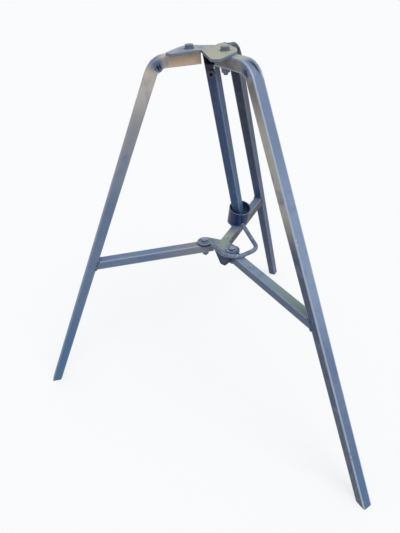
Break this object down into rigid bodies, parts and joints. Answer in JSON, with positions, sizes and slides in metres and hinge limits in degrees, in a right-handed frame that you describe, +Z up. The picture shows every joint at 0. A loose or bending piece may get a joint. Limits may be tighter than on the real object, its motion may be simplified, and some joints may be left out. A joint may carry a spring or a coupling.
{
  "type": "folding tripod stand",
  "caption": "Folding tripod stand of bent square steel tube: two bolted legs swing beside a fixed rear leg that carries plates, a sloping post in a pipe cup and a bent rod.",
  "frame": {"origin": "on the floor, at the middle of the stand's footprint with its legs open", "axes": "+Z up; +Y towards the fixed rear leg; +X to the right as seen from the front, across the two swinging legs"},
  "size_m": [1.0025, 0.8209, 0.9399],
  "materials": {
    "leg_paint": "worn semi-gloss slate-blue paint",
    "plate_paint": "worn pale grey-green paint",
    "cup_paint": "semi-gloss deep blue paint",
    "post_paint": "semi-gloss slate-blue paint",
    "rod_paint": "worn semi-gloss slate-blue paint",
    "fastener_steel": "dull plated steel with paint traces"
  },
  "bodies": {
    "frame": {"top_plate": "plate_paint", "hub_plate": "plate_paint", "rear_leg": "leg_paint", "rear_brace": "leg_paint", "centre_post": "post_paint", "post_nut": "fastener_steel", "pipe_cup": "cup_paint", "loop_rod": "rod_paint", "top_left_bolt": "fastener_steel", "top_left_upper_washer": "fastener_steel", "hub_left_bolt": "fastener_steel", "hub_left_upper_washer": "fastener_steel", "hub_left_lower_washer": "fastener_steel", "hub_left_nut": "fastener_steel", "top_right_bolt": "fastener_steel", "top_right_upper_washer": "fastener_steel", "top_right_lower_washer": "fastener_steel", "top_right_nut": "fastener_steel", "hub_right_bolt": "fastener_steel", "hub_right_upper_washer": "fastener_steel", "hub_right_lower_washer": "fastener_steel", "hub_right_nut": "fastener_steel"},
    "left_leg_body": {"left_leg": "leg_paint", "left_brace": "leg_paint", "top_left_nut": "fastener_steel"},
    "right_leg_body": {"right_leg": "leg_paint", "right_brace": "leg_paint"}
  },
  "joints": [
    {"name": "left_leg_swing", "type": "hinge", "parent": "frame", "child": "left_leg_body", "pos_m": [-0.06271, -0.07422, 0.672], "axis": [0, 0, 1], "range_deg": [-115, 0]},
    {"name": "right_leg_swing", "type": "hinge", "parent": "frame", "child": "right_leg_body", "pos_m": [0.02369, -0.08412, 0.672], "axis": [0, 0, 1], "range_deg": [0, 115]}
  ]
}
